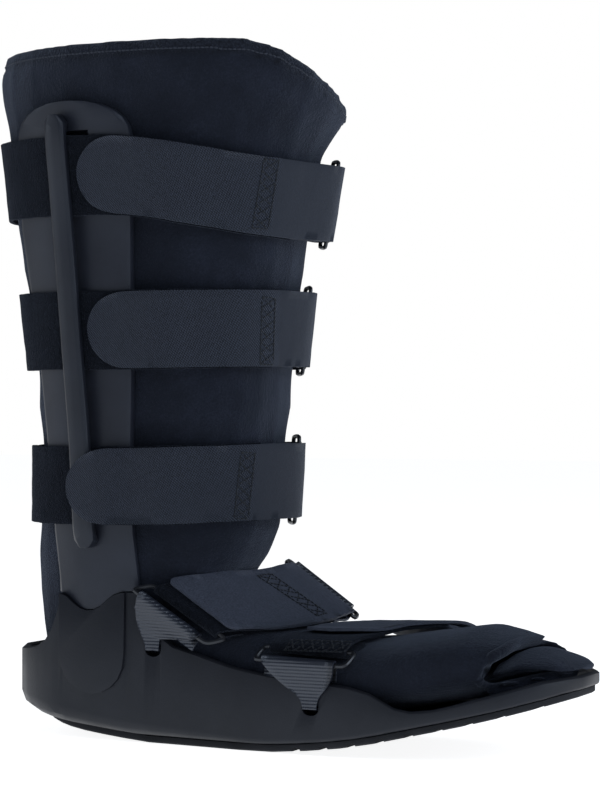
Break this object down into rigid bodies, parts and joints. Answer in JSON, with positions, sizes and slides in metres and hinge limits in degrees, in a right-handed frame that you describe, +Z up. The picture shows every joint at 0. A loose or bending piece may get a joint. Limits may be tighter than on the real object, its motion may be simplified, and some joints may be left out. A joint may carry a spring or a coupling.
{
  "type": "medical walking boot",
  "caption": "Tall walking boot with a rigid rocker shell, two side uprights, an overlapping padded liner, three leg straps and two foot straps.",
  "frame": {"origin": "on the floor under the middle of the whole boot", "axes": "+X towards the toe, +Z up along the leg, -Y the side on which the straps fasten"},
  "size_m": [0.365, 0.1694, 0.4012],
  "materials": {
    "shell": "satin",
    "tread": "matte",
    "upright": "satin",
    "keeper_bar": "satin",
    "liner": "brushed felt",
    "pile": "loop pile",
    "tab": "woven",
    "wire": "gloss black",
    "webbing": "ribbed nylon with a sheen"
  },
  "bodies": {
    "root": {"shell": "shell", "tread": "tread", "upright_near": "upright", "upright_far": "upright", "keeper_bar_near": "keeper_bar", "keeper_bar_far": "keeper_bar", "liner": "liner", "toe_flap": "liner", "upper_band": "pile", "middle_band": "pile", "lower_band": "pile", "upper_tab": "tab", "middle_tab": "tab", "lower_tab": "tab", "upper_ring": "wire", "middle_ring": "wire", "lower_ring": "wire", "instep_strap": "pile", "instep_tab": "tab", "instep_ring_near": "wire", "instep_webbing_near": "webbing", "instep_ring_far": "wire", "instep_webbing_far": "webbing", "forefoot_strap": "pile", "forefoot_tab": "tab", "forefoot_ring_near": "wire", "forefoot_webbing_near": "webbing", "forefoot_ring_far": "wire", "forefoot_webbing_far": "webbing"}
  },
  "joints": []
}
